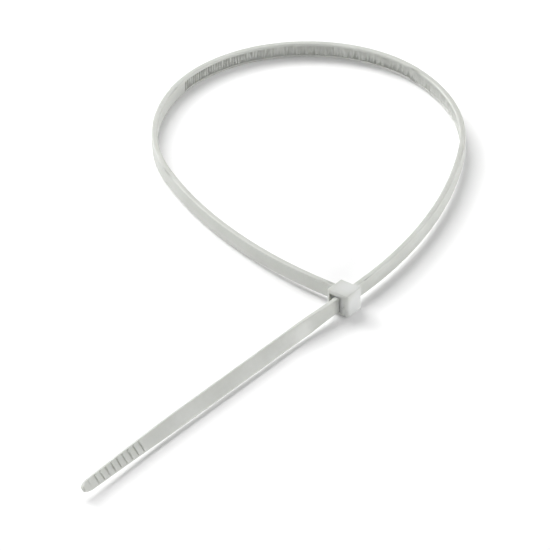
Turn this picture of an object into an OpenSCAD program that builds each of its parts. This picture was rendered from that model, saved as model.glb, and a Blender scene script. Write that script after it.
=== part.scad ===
// Nylon cable tie, threaded through its own head into an open loop.
// The strap lies on its edge, so its width is along Z and the loop's plan is in X and Y.
// The origin is the centre of the loop's far bend, in the middle of the strap's width.
// The head is wider than the strap, so the tie leans a little, from its head to the far bend.

/* [Strap] */
// Length of the whole tie when it is straight
tie_l = 370; // [335:1:440]
// Width of the strap
strap_w = 3.6; // [3.2:0.1:4.8]
// Thickness of the strap
strap_t = 1.35; // [1:0.05:1.5]
// Rounding of the strap's long edges
edge_r = 0.3; // [0.1:0.05:0.4]

/* [Teeth] */
// Pitch of the locking teeth
tooth_pitch = 0.75; // [0.6:0.05:1.5]
// Height of a tooth, from root to crest
tooth_h = 0.3; // [0.15:0.05:0.4]
// Depth of the crests below the smooth rails beside them
crest_drop = 0.06; // [0.03:0.01:0.1]
// Lean of a tooth's steep side, along the strap
tooth_lean = 0.125; // [0.05:0.025:0.2]
// Width of the smooth rail on each side of the teeth
rail_w = 0.6; // [0.4:0.05:0.9]
// Plain strap between the head and the first tooth
plain_l = 103; // [60:1:120]

/* [Loop] */
// Radius of the far bend, at the middle of the strap
far_r = 33.5; // [32:0.5:39]
// Half angle of the far bend
far_a = 57; // [56:1:64]
// Radius of each side bend
side_r = 43.5; // [38:0.5:44]
// Angle of each side bend
side_a = 48; // [40:1:50]
// Radius of the slack bends next to the head
near_r = 115; // [90:1:130]

/* [Head] */
// Length of the head's body along its slot
head_h = 5.45; // [4.8:0.05:6.5]
// Height of the entry lip above the strap's toothed face
entry_lip = 0.9; // [0.6:0.05:1.3]
// Wall between the slot and the head's outer end
end_wall = 2; // [1.2:0.1:2.6]
// Wall between the pawl and the root of the strap
root_wall = 0.85; // [0.7:0.05:1.5]
// Walls beside the slot
side_wall = 0.95; // [0.6:0.05:1.2]
// Floor between the entry face and the pawl's room
entry_floor = 0.9; // [0.7:0.1:1.2]
// Rounding of the head's long corners
corner_r = 0.75; // [0.5:0.05:1.2]
// Rounding of the head's other edges
rim_r = 0.45; // [0.2:0.05:0.6]
// Gap between the strap and the slot it runs through
slot_gap = 0.12; // [0.08:0.01:0.2]
// Radius of the mark that the gate leaves
gate_r = 0.25; // [0.15:0.05:0.4]
// Depth of the mark that the gate leaves
gate_d = 0.2; // [0.1:0.05:0.4]

/* [Pawl] */
// Space for the pawl, beside the strap's toothed face
pawl_room = 1.4; // [1.2:0.05:2]
// Number of teeth on the pawl
pawl_teeth = 4; // [2:1:4]
// Gap between the pawl's teeth and the strap's teeth
pawl_gap = 0.15; // [0.1:0.01:0.2]
// Thickness of the pawl's tip
pawl_tip_t = 0.75; // [0.4:0.05:0.9]
// Thickness of the pawl at its hinge
pawl_hinge_t = 0.7; // [0.5:0.05:0.8]
// Room behind the pawl at its hinge
pawl_back_gap = 0.3; // [0.2:0.05:0.4]
// Length of the pawl's thick heel
pawl_heel_l = 1; // [0.6:0.1:1.4]

/* [Tail] */
// Length over which the tail narrows
taper_l = 36; // [30:1:50]
// Width of the tail at its tip
tip_w = 2.6; // [1.8:0.1:3]
// Thickness of the tail at its tip
tip_t = 0.85; // [0.7:0.05:1]
// Length of the round end of the tip
nose_l = 2.6; // [1.5:0.1:4]
// Rounding of the tip's two faces
nose_r = 0.38; // [0.2:0.02:0.42]
// Number of grip ribs
rib_n = 9; // [4:1:12]
// Pitch of the grip ribs
rib_pitch = 2.05; // [1.5:0.05:2.5]
// Height of a grip rib
rib_h = 0.22; // [0.1:0.01:0.3]
// Width of a grip rib at its foot
rib_foot = 0.7; // [0.4:0.05:0.9]
// Distance from the tip to the first rib
rib_start = 5; // [3:0.5:8]

/* [Hidden] */
nylon = [0.86, 0.87, 0.84];
eps = 0.01;
$fn = 240;

// The head holds the two legs square to each other, so each half of the loop turns by 135 degrees.
half_turn = 135;
near_a = half_turn - far_a - side_a;

// Centres of the bends on the right half, where the turn is measured clockwise from +Y
function ray(turn) = [sin(turn), cos(turn)];
function heading(turn) = [cos(turn), -sin(turn)];
far_c = [0, 0];
side_c = far_c + (far_r - side_r) * ray(far_a);
near_c = side_c + (side_r - near_r) * ray(far_a + side_a);

// Each piece of the strap laps into the one before it and is thinner by a hair, so that they join.
lap_l = 0.4;
lap_skin = 0.005;

// Lengths along the middle of the strap, from the far point
far_l = far_r * far_a * PI / 180;
side_l = far_l + side_r * side_a * PI / 180;
near_l = side_l + near_r * near_a * PI / 180;
run_start = near_c + near_r * ray(half_turn);
run_l = -run_start.x / heading(half_turn).x;
cross_l = near_l + run_l;
cross_y = run_start.y + run_l * heading(half_turn).y;

// Head, from the crossing of the two legs
head_front = strap_t / 2 + slot_gap + end_wall;
pawl_side = strap_t / 2 + slot_gap + pawl_room;
head_back = pawl_side + root_wall;
head_w = strap_w + 2 * slot_gap + 2 * side_wall;
entry_y = strap_t / 2 + entry_lip;
exit_y = entry_y - head_h;
tail_l = tie_l - 2 * cross_l - head_front;
tip_steps = 8;
past = 1;
inside_steps = 48;

// The pawl hangs from the floor between the entry face and its room.
hinge_y = entry_y - entry_floor;
slot_w = strap_w + 2 * slot_gap;
slot_x = strap_t / 2 + slot_gap;

// It rests on the lower edge of the head's root side and on the far bend's lower edge.
rest_rise = (head_w - strap_w) / 2;
rest_span = far_r + strap_t / 2 - edge_r - cross_y * sin(45) - head_back + rim_r;
rest_tilt = atan(rest_rise / rest_span);

// Teeth, as depths below the inner face of the strap
band_w = strap_w - 2 * rail_w;
crest_x = crest_drop - strap_t / 2;
root_x = crest_x + tooth_h;
first_tooth = -cross_l + head_back + plain_l;
last_tooth = cross_l + tail_l - taper_l;
tooth_n = floor((last_tooth - first_tooth) / tooth_pitch);

// The pawl's teeth stand in those of the strap, and as many as end inside the exit face are made.
slot_phase = (cross_l - first_tooth) / tooth_pitch;
pawl_first = ceil(slot_phase) + 1;
pawl_n = min(pawl_teeth, floor((pawl_gap - exit_y) / tooth_pitch - pawl_first + slot_phase));

// Turn and place of a point of the strap: s along its middle, off outwards from its middle
function turn_at(s) =
    s < far_l ? s / far_r * 180 / PI
    : s < side_l ? far_a + (s - far_l) / side_r * 180 / PI
    : s < near_l ? far_a + side_a + (s - side_l) / near_r * 180 / PI
    : half_turn;
function right_place(s, off) =
    s < far_l ? far_c + (far_r + off) * ray(turn_at(s))
    : s < side_l ? side_c + (side_r + off) * ray(turn_at(s))
    : s < near_l ? near_c + (near_r + off) * ray(turn_at(s))
    : run_start + (s - near_l) * heading(half_turn) + off * ray(half_turn);
function place(s, off) =
    s >= 0 ? right_place(s, off) : let (p = right_place(-s, off)) [-p.x, p.y];

// Corners of a rectangle with rounded corners, centred on c
function rounded(l, w, r, c = [0, 0], steps = 5) = [
    for (q = [0:3], i = [0:steps])
        let (a = 90 * q + 90 * i / steps, sx = (q == 0 || q == 3) ? 1 : -1, sy = q < 2 ? 1 : -1)
        c + [sx * (l / 2 - r) + r * cos(a), sy * (w / 2 - r) + r * sin(a)]
];

// Section of the strap, with its thickness along X; the skin is taken off all round
module strap_section(skin = 0) {
    polygon(rounded(strap_t - 2 * skin, strap_w - 2 * skin, edge_r - skin, steps = 3));
}

// A bend of the strap about the point c that ends at the given turn, with a lap before its start
module bend(c, r, a, turn, skin = 0) {
    lap_a = skin > 0 ? lap_l / r * 180 / PI : 0;
    translate([c.x, c.y, 0])
        rotate([0, 0, 90 - turn])
            rotate_extrude(angle = a + lap_a)
                translate([r, 0])
                    strap_section(skin);
}

// A straight run of strap from the end of a near bend, towards the head
module run(length, skin) {
    translate([run_start.x, run_start.y, 0])
        rotate([0, 0, -half_turn])
            translate([-lap_l, 0, 0])
                rotate([90, 0, 90])
                    linear_extrude(length + lap_l)
                        strap_section(skin);
}

// The hollow between the rails, with the teeth standing in it
module tooth_cut() {
    span = tooth_n * tooth_pitch;
    line = [
        for (k = [0:tooth_n - 1], j = [0, 1])
            let (s = first_tooth + k * tooth_pitch)
            j == 0 ? place(s, root_x) : place(s + tooth_lean, crest_x)
    ];
    inside = [
        for (k = [inside_steps:-1:0])
            place(first_tooth + span * k / inside_steps, -strap_t)
    ];
    translate([0, 0, -band_w / 2])
        linear_extrude(band_w)
            polygon(concat(line, [place(first_tooth + span, root_x)], inside));
}

// Frame at the crossing: +X along the strap's root, -Y along the tail
module at_head() {
    translate([0, cross_y, 0])
        rotate([0, 0, -45])
            children();
}

// Both halves of the loop, and the tail without its tip's shape
module smooth_strap() {
    bend(far_c, far_r, 2 * far_a, far_a);
    for (m = [0, 1])
        mirror([m, 0, 0]) {
            bend(side_c, side_r, side_a, far_a + side_a, lap_skin);
            bend(near_c, near_r, near_a, half_turn, 2 * lap_skin);
        }
    mirror([1, 0, 0])
        run(run_l - pawl_side - root_wall / 2, 3 * lap_skin);
    run(run_l + tail_l, 3 * lap_skin);
}

// Share of the taper that lies behind the distance d from the crossing
function taper_share(d) = min(1, max(0, d - (tail_l - taper_l)) / (taper_l - nose_l));
function tail_half(d) = strap_w / 2 - (strap_w - tip_w) / 2 * taper_share(d);
function tail_face(d) = strap_t / 2 - (strap_t - tip_t) / 2 * taper_share(d);

// What the narrowing, rounded tip leaves off, seen from the face of the strap
module tip_width_cut() {
    start = tail_l - taper_l;
    beyond = tail_l + past;
    side = strap_w / 2 + past;
    nose = [
        for (i = [0:tip_steps])
            let (a = 90 * i / tip_steps)
            [tail_l - nose_l + nose_l * sin(a), tip_w / 2 * cos(a)]
    ];
    outside = [[beyond, 0], [beyond, side], [start, side]];
    for (m = [0, 1])
        mirror([0, 0, m])
            rotate([90, 0, -90])
                linear_extrude(4 * strap_t, center = true)
                    polygon(concat([[start, strap_w / 2]], nose, outside));
}

// What the thinning tail and its nose leave off, seen from the edge of the strap
module tip_face_cut() {
    start = tail_l - taper_l;
    beyond = tail_l + past;
    side = strap_t / 2 + past;
    thin = [[strap_t / 2, -start], [tip_t / 2, nose_l - tail_l]];
    nose = [
        for (i = [0:tip_steps])
            let (a = 90 * i / tip_steps)
            [tip_t / 2 - nose_r + nose_r * cos(a), -tail_l + nose_r - nose_r * sin(a)]
    ];
    outside = [[0, -beyond], [side, -beyond], [side, -start]];
    for (m = [0, 1])
        mirror([m, 0, 0])
            translate([0, 0, -strap_w])
                linear_extrude(2 * strap_w)
                    polygon(concat(thin, nose, [[0, -tail_l]], outside));
}

// Ribs across the outer face of the tail, to grip it by
module grip_ribs() {
    foot = rib_foot / 2;
    top = rib_foot / 6;
    rib = [[-rib_h, -foot], [0, -foot], [rib_h, -top], [rib_h, top], [0, foot], [-rib_h, foot]];
    for (k = [0:rib_n - 1]) {
        d = tail_l - rib_start - k * rib_pitch;
        half = tail_half(d) - edge_r;
        translate([tail_face(d), -d, -half])
            linear_extrude(2 * half)
                polygon(rib);
    }
}

module strap() {
    difference() {
        smooth_strap();
        tooth_cut();
        at_head() {
            tip_width_cut();
            tip_face_cut();
        }
    }
    at_head()
        grip_ribs();
}

// Head's outer form: three outlines crossed, so that every edge is rounded
module head_body() {
    mid_x = (head_front - head_back) / 2;
    mid_y = (entry_y + exit_y) / 2;
    length = head_front + head_back;
    intersection() {
        translate([0, 0, -head_w / 2])
            linear_extrude(head_w)
                polygon(rounded(length, head_h, corner_r, [mid_x, mid_y]));
        rotate([90, 0, 0])
            linear_extrude(4 * head_h, center = true)
                polygon(rounded(length, head_w, rim_r, [mid_x, 0]));
        rotate([90, 0, 90])
            linear_extrude(4 * length, center = true)
                polygon(rounded(head_h, head_w, rim_r, [mid_y, 0]));
    }
}

// Slot that the tail runs through, with the room beside it that is left open to the exit
module head_slot() {
    translate([-slot_x, exit_y - past, -slot_w / 2])
        cube([2 * slot_x, head_h + 2 * past, slot_w]);
    translate([-pawl_side, exit_y - past, -slot_w / 2])
        cube([pawl_side, past + hinge_y - exit_y, slot_w]);
}

// Flared mouth that leads the tip into the slot
module entry_flare() {
    flare = side_wall / 2;
    inner = entry_y - flare;
    outer = entry_y + eps;
    end = slot_x - eps;
    side = slot_w / 2 - eps;
    translate([0, 0, -slot_w / 2])
        linear_extrude(slot_w)
            polygon([[end, inner], [end, outer], [end + flare + 2 * eps, outer]]);
    for (m = [0, 1])
        mirror([0, 0, m])
            translate([-slot_x, 0, 0])
                rotate([90, 0, 90])
                    linear_extrude(2 * slot_x)
                        polygon([[inner, side], [outer, side], [outer, side + flare + 2 * eps]]);
}

// Sprung finger that hangs from the entry side and leans on the teeth, with teeth of its own
module pawl() {
    teeth = [
        for (k = [pawl_first:pawl_first + pawl_n - 1], j = [0, 1])
            let (y = -(k - slot_phase) * tooth_pitch + pawl_gap)
            j == 0 ? [crest_x - pawl_gap, y - tooth_lean] : [root_x - pawl_gap, y - tooth_pitch]
    ];
    back = -pawl_side + pawl_back_gap;
    hinge = [[back, hinge_y + eps], [back + pawl_hinge_t, hinge_y + eps]];
    neck = [[crest_x - 2 * pawl_gap, teeth[0].y + tooth_pitch]];
    tip = [[crest_x - pawl_gap - pawl_tip_t, teeth[len(teeth) - 1].y]];
    heel = [[back, hinge_y - pawl_heel_l]];
    translate([0, 0, -band_w / 2 + pawl_gap])
        linear_extrude(band_w - 2 * pawl_gap)
            polygon(concat(hinge, neck, teeth, tip, heel));
}

// Mark that the gate leaves on the end wall's exit side
module gate_mark() {
    translate([head_front - end_wall / 2, exit_y - eps, 0])
        rotate([-90, 0, 0])
            cylinder(r = gate_r, h = gate_d);
}

module head() {
    difference() {
        head_body();
        head_slot();
        entry_flare();
        gate_mark();
    }
    pawl();
}

module cable_tie() {
    color(nylon)
        rotate(a = -rest_tilt, v = [1, 1, 0]) {
            strap();
            at_head()
                head();
        }
}

cable_tie();
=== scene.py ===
import math

import bpy
from mathutils import Matrix, Vector


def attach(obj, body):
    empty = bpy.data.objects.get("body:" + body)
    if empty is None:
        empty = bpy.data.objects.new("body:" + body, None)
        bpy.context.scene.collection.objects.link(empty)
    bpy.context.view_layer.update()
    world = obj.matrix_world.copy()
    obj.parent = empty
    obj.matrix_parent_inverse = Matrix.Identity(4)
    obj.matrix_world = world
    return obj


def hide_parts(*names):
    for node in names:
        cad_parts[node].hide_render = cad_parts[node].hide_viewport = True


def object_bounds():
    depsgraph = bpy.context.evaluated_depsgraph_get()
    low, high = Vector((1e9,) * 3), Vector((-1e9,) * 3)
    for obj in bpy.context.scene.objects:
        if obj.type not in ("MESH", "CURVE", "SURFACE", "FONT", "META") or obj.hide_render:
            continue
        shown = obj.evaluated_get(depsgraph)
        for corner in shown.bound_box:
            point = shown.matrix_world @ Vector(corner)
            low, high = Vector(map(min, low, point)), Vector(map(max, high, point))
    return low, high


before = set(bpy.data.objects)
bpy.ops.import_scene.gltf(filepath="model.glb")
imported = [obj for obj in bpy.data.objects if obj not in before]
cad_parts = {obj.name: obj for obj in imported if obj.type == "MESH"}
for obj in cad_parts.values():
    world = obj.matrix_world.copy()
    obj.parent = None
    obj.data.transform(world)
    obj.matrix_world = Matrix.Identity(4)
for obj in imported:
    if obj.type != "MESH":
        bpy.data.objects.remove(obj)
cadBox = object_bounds()
print("frame loaded, box", [[round(v, 5) for v in corner] for corner in cadBox])


class Wire:
    # wraps one output socket, so that maths on values reads as maths
    def __init__(self, build, socket):
        self.build = build
        self.socket = socket

    def math(self, operation, first, second):
        return self.build.add("ShaderNodeMath", {"operation": operation}, {0: first, 1: second})

    def __add__(self, other):
        return self.math("ADD", self, other)

    def __radd__(self, other):
        return self.math("ADD", other, self)

    def __sub__(self, other):
        return self.math("SUBTRACT", self, other)

    def __rsub__(self, other):
        return self.math("SUBTRACT", other, self)

    def __mul__(self, other):
        return self.math("MULTIPLY", self, other)

    def __rmul__(self, other):
        return self.math("MULTIPLY", other, self)


class Build:
    # one material's node tree
    def __init__(self, name):
        self.material = bpy.data.materials.new(name)
        self.material.use_nodes = True
        self.tree = self.material.node_tree
        self.tree.nodes.clear()

    def add(self, kind, settings=None, inputs=None, output=0):
        node = self.tree.nodes.new(kind)
        for key, value in (settings or {}).items():
            if key == "stops":
                ramp = node.color_ramp
                while len(ramp.elements) < len(value):
                    ramp.elements.new(0.5)
                for element, (place, tone) in zip(ramp.elements, value):
                    element.position = place
                    element.color = (tone, tone, tone, 1)
            else:
                setattr(node, key, value)
        for key, value in (inputs or {}).items():
            if isinstance(value, Wire):
                self.tree.links.new(value.socket, node.inputs[key])
            else:
                node.inputs[key].default_value = value
        return Wire(self, node.outputs[output])

    def pick(self, wire, output):
        return Wire(self, wire.socket.node.outputs[output])

    def finish(self, shader):
        out = self.tree.nodes.new("ShaderNodeOutputMaterial")
        self.tree.links.new(shader.socket, out.inputs["Surface"])
        return self.material


# natural nylon, moulded in one shot; lengths in metres, scales per metre
nylon = {
    "tone": (0.49, 0.50, 0.470, 1.0),
    "milky": (0.545, 0.555, 0.527, 1.0),
    # painted light: a whiter colour near the head stands in for the light its thicker body scatters back
    "headPaintedLight": (0.63, 0.64, 0.628, 1.0),
    "headPlace": Vector((0.0, -0.0725, 0.0)),
    "headFrom": 0.0032,  # nearer than this the painted light on the head is full
    "headTo": 0.0052,  # and further than this it is gone
    "cloudScale": 110.0,  # slow clouds of the melt, about 9 mm across
    "cloudShare": 0.7,  # the rest of the blend is the flow
    "cloudStops": [(0.35, 0.0), (0.65, 1.0)],
    "flowScale": 900.0,  # fine flow lines
    "grainScale": 4200.0,
    "roughness": 0.42,
    "roughnessSpread": 0.14,
    "refraction": 1.53,
    "scatter": 0.35,
    "scatterTint": (1.0, 1.0, 0.9),
    "scatterDepth": 0.0012,
    "streakHeight": 0.000012,
    "streakShare": 0.6,  # the rest of the relief is the grain
    "streakStrength": 0.5,
}


def makeNylon():
    build = Build("nylon")
    coords = build.add("ShaderNodeTexCoord", output=3)
    clouds = build.add("ShaderNodeTexNoise", {}, {
        "Vector": coords, "Scale": nylon["cloudScale"], "Detail": 2.0, "Roughness": 0.5})
    flow = build.add("ShaderNodeTexNoise", {}, {
        "Vector": coords, "Scale": nylon["flowScale"], "Detail": 3.0, "Roughness": 0.6})
    grain = build.add("ShaderNodeTexNoise", {}, {
        "Vector": coords, "Scale": nylon["grainScale"], "Detail": 2.0, "Roughness": 0.5})
    blend = clouds * nylon["cloudShare"] + flow * (1 - nylon["cloudShare"])
    mask = build.add("ShaderNodeValToRGB", {"stops": nylon["cloudStops"]}, {"Fac": blend})
    body = build.add("ShaderNodeMix", {"data_type": "RGBA"}, {
        0: mask, 6: nylon["tone"], 7: nylon["milky"]}, output=2)
    # painted light: the head is painted whiter, standing in for the extra light that its thicker body
    # scatters back
    fromHead = build.add("ShaderNodeMapping", {}, {"Vector": coords, "Location": -nylon["headPlace"]})
    away = build.add("ShaderNodeVectorMath", {"operation": "LENGTH"}, {0: fromHead}, output=1)
    paintedHeadLight = build.add("ShaderNodeMapRange", {"interpolation_type": "SMOOTHSTEP"}, {
        "Value": away, "From Min": nylon["headFrom"], "From Max": nylon["headTo"],
        "To Min": 1.0, "To Max": 0.0})
    # the painted light of the head is mixed into the colour here
    colour = build.add("ShaderNodeMix", {"data_type": "RGBA"}, {
        0: paintedHeadLight, 6: body, 7: nylon["headPaintedLight"]}, output=2)
    rough = nylon["roughness"] + (flow - 0.5) * nylon["roughnessSpread"]
    relief = flow * nylon["streakShare"] + grain * (1 - nylon["streakShare"])
    bump = build.add("ShaderNodeBump", {}, {
        "Strength": nylon["streakStrength"], "Distance": nylon["streakHeight"], "Height": relief})
    shader = build.add("ShaderNodeBsdfPrincipled", {}, {
        "Base Color": colour, "Roughness": rough, "Normal": bump, "IOR": nylon["refraction"],
        "Subsurface Weight": nylon["scatter"], "Subsurface Radius": nylon["scatterTint"],
        "Subsurface Scale": nylon["scatterDepth"]})
    return build.finish(shader)


nylonMaterial = makeNylon()
print("nylon is mixed")

# the tie: the CAD shape, its tail twisted and let down almost to the floor, its tip lifted, as in the photo
# distances along the tail are taken from where the two legs cross, in metres
tie = {
    "crossing": Vector((0.0, -0.072125, 0.0)),  # inside the head
    "tailWay": Vector((-1.0, -1.0, 0.0)).normalized(),
    "tailFace": Vector((1.0, -1.0, 0.0)).normalized(),  # the outer face, which carries the ribs
    "halfWidth": 0.0018,
    "halfThick": 0.000675,
    "headEnd": 0.0040,  # the tail begins here
    "settled": 0.0240,  # from here on the tail lies the same way up to its tip
    "nearBand": 0.0020,  # the strap's middle is measured over this much at both ends of that stretch
    "cutUntil": 0.0950,
    "cutStep": 0.0012,
    "twist": 40.0,  # degrees
    "clear": 0.00015,  # air under the settled part
    "aside": 0.00085,  # the settled part lies this much to the back
    "taperFrom": 0.0600,  # here the tail begins to come up again
    "taperLength": 0.0360,
    "tipLift": 0.00045,
    "tipAside": 0.00005,
    "drawBack": 0.00036,  # the twisted tip stays inside the length of the straight one
    "mergeWithin": 0.000001,
    "smoothUnder": 32.0,  # degrees
    "normalWeight": 100,
}


def copyOfNode(source, name):
    bpy.ops.object.select_all(action="DESELECT")
    piece = bpy.data.objects.new(name, source.data.copy())
    bpy.context.scene.collection.objects.link(piece)
    piece.select_set(True)
    bpy.context.view_layer.objects.active = piece
    bpy.ops.object.mode_set(mode="EDIT")
    bpy.ops.mesh.select_all(action="SELECT")
    bpy.ops.mesh.remove_doubles(threshold=tie["mergeWithin"])
    bpy.ops.object.mode_set(mode="OBJECT")
    return piece


def cutTail():
    # the flat faces get an edge every millimetre or so where they are going to twist and bend
    bpy.ops.object.mode_set(mode="EDIT")
    cuts = int((tie["cutUntil"] - tie["headEnd"]) / tie["cutStep"]) + 1
    for k in range(cuts):
        bpy.ops.mesh.select_all(action="SELECT")
        here = tie["crossing"] + tie["tailWay"] * (tie["headEnd"] + k * tie["cutStep"])
        bpy.ops.mesh.bisect(plane_co=here, plane_no=tie["tailWay"])
    # where a cut runs along an edge that was there before, the two become one again
    bpy.ops.mesh.select_all(action="SELECT")
    bpy.ops.mesh.remove_doubles(threshold=tie["mergeWithin"])
    bpy.ops.object.mode_set(mode="OBJECT")


def shareOf(along):
    # 0 at the head and 1 where the tail is settled, with a soft start and end
    share = min(1.0, (along - tie["headEnd"]) / (tie["settled"] - tie["headEnd"]))
    return share * share * (3 - 2 * share)


def middleOf(tail, reach, first, last):
    heights = [v.co.z for v, along in zip(tail, reach) if first < along < last]
    return (max(heights) + min(heights)) / 2


def layTail(piece):
    crossing, tailWay, tailFace = tie["crossing"], tie["tailWay"], tie["tailFace"]
    headEnd, settled, nearBand = tie["headEnd"], tie["settled"], tie["nearBand"]
    tail = [v for v in piece.data.vertices if (v.co - crossing).dot(tailWay) > headEnd]
    reach = [(v.co - crossing).dot(tailWay) for v in tail]
    outward = [(v.co - crossing).dot(tailFace) for v in tail]
    # the strap's middle line as it comes out of the head: sideways, its height and its slope
    plain = [out for out, along in zip(outward, reach) if along < settled]
    sideways = (max(plain) + min(plain)) / 2
    start = middleOf(tail, reach, headEnd, headEnd + nearBand)
    end = middleOf(tail, reach, settled - nearBand, settled)
    slope = (end - start) / (settled - headEnd - nearBand)
    turn = math.radians(tie["twist"])
    halfHeight = tie["halfWidth"] * math.cos(turn) + tie["halfThick"] * math.sin(turn)
    low = cadBox[0][2] + tie["clear"] + halfHeight
    for v, along, out in zip(tail, reach, outward):
        share = shareOf(along)
        nearTip = min(1.0, max(0.0, (along - tie["taperFrom"]) / tie["taperLength"])) ** 2
        middle = start + slope * (along - headEnd - nearBand / 2)
        lift = (low - middle) * share + tie["tipLift"] * nearTip
        aside = tie["aside"] * share + (tie["tipAside"] - tie["aside"]) * nearTip
        across = out - sideways
        up = v.co.z - middle
        angle = turn * share
        newOut = across * math.cos(angle) - up * math.sin(angle) + sideways - aside
        newUp = across * math.sin(angle) + up * math.cos(angle) + middle + lift
        flat = crossing + tailWay * (along - tie["drawBack"] * share) + tailFace * newOut
        v.co = Vector((flat.x, flat.y, newUp))


def makeTie():
    piece = copyOfNode(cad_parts["cable_tie"], "nylonTie")
    cutTail()
    layTail(piece)
    # smooth only round the small radii: the large faces keep their own normals
    bpy.ops.object.shade_smooth_by_angle(angle=math.radians(tie["smoothUnder"]))
    bpy.ops.object.modifier_add(type="WEIGHTED_NORMAL")
    piece.modifiers[-1].keep_sharp = True
    piece.modifiers[-1].weight = tie["normalWeight"]
    bpy.ops.object.modifier_apply(modifier=piece.modifiers[-1].name)
    piece.data.materials.clear()
    piece.data.materials.append(nylonMaterial)
    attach(piece, "root")
    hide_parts("cable_tie")
    return piece


tiePiece = makeTie()
print("the tie is made,", len(tiePiece.data.polygons), "faces")

# floor: white paper, lifted to white for what the camera sees, straight or by a reflection
floorSetup = {"size": 6.0, "tone": (0.86, 0.86, 0.86, 1.0), "lift": 0.13}


def makeFloor():
    build = Build("floor_white")
    ray = build.add("ShaderNodeLightPath")
    paper = build.add("ShaderNodeBsdfDiffuse", {}, {"Color": floorSetup["tone"]})
    glow = build.add("ShaderNodeEmission", {}, {"Color": (1, 1, 1, 1), "Strength": floorSetup["lift"]})
    lifted = build.add("ShaderNodeAddShader", {}, {0: paper, 1: glow})
    seen = ray
    for kind in ("Is Glossy Ray", "Is Transmission Ray"):
        seen = build.add("ShaderNodeMath", {"operation": "MAXIMUM"}, {0: seen, 1: build.pick(ray, kind)})
    shader = build.add("ShaderNodeMixShader", {}, {0: seen, 1: paper, 2: lifted})
    bpy.ops.object.select_all(action="DESELECT")
    bpy.ops.mesh.primitive_plane_add(size=floorSetup["size"], location=(0, 0, cadBox[0][2]))
    floor = bpy.context.object
    floor.name = "floor"
    floor.data.materials.append(build.finish(shader))


makeFloor()
print("floor is down")

# two soft keys from behind and from the left behind, and low lamps for the strap's upright faces
lamps = {
    "keyBack": {"place": (-0.38, 0.80, 1.00), "size": 1.0, "power": 16.0},
    "keyLeft": {"place": (-0.80, 0.85, 0.75), "size": 0.5, "power": 7.5},
    "above": {"place": (-0.25, 0.40, 1.25), "size": 0.9, "power": 1.5},
    "lowLeft": {"place": (-1.05, -0.85, 0.25), "size": 0.8, "power": 9.0},
    "lowRight": {"place": (1.30, -0.10, 0.18), "size": 0.6, "power": 13.0},
    "lowFront": {"place": (0.95, -0.90, 0.30), "size": 0.6, "power": 3.5},
}
sky = {"tone": (1, 1, 1, 1), "strength": 0.1}
lampAim = Vector((0, -0.04, 0))  # between the loop and the tail


def placeLamps():
    for name, lamp in lamps.items():
        light = bpy.data.lights.new(name, "AREA")
        light.shape = "DISK"
        light.size = lamp["size"]
        light.energy = lamp["power"]
        lampObject = bpy.data.objects.new(name, light)
        bpy.context.scene.collection.objects.link(lampObject)
        place = Vector(lamp["place"])
        turn = (lampAim - place).to_track_quat("-Z", "Y")
        lampObject.matrix_world = Matrix.LocRotScale(place, turn, None)


def makeSky():
    world = bpy.data.worlds.new("sky")
    world.use_nodes = True
    background = world.node_tree.nodes["Background"]
    background.inputs["Color"].default_value = sky["tone"]
    background.inputs["Strength"].default_value = sky["strength"]
    bpy.context.scene.world = world


placeLamps()
makeSky()
print("lamps are on")

# camera, from the fit to the strap's edges: farPoint, at the far bend, is seen at farPixel
viewSetup = {
    "azimuth": -7.429,
    "elevation": 33.422,
    "distance": 3.075,
    "farPoint": (0.0, 0.035, -0.0018),
    "farPixel": (285.634, 51.691),
    "pixelsPerMetre": 4329.0,
    "frame": 550.0,  # pixels
    "sensor": 36.0,
    "clipEnd": 20,
}


def placeCamera():
    azimuth = math.radians(viewSetup["azimuth"])
    elevation = math.radians(viewSetup["elevation"])
    flatBack = Vector((math.sin(azimuth), -math.cos(azimuth), 0))
    back = flatBack * math.cos(elevation) + Vector((0, 0, math.sin(elevation)))
    right = Vector((math.cos(azimuth), math.sin(azimuth), 0))
    up = back.cross(right)
    half = viewSetup["frame"] / 2
    across = (viewSetup["farPixel"][0] - half) / viewSetup["pixelsPerMetre"]
    above = (half - viewSetup["farPixel"][1]) / viewSetup["pixelsPerMetre"]
    target = Vector(viewSetup["farPoint"]) - right * across - up * above
    frameWidth = viewSetup["frame"] / viewSetup["pixelsPerMetre"]
    data = bpy.data.cameras.new("camera")
    data.sensor_width = viewSetup["sensor"]
    data.lens = viewSetup["distance"] / frameWidth * viewSetup["sensor"]
    data.clip_end = viewSetup["clipEnd"]
    camera = bpy.data.objects.new("camera", data)
    bpy.context.scene.collection.objects.link(camera)
    turn = Matrix((right, up, back)).transposed().to_4x4()
    camera.matrix_world = Matrix.Translation(target + back * viewSetup["distance"]) @ turn
    bpy.context.scene.camera = camera


placeCamera()
bpy.context.scene.view_settings.view_transform = "Standard"
print("camera is set")
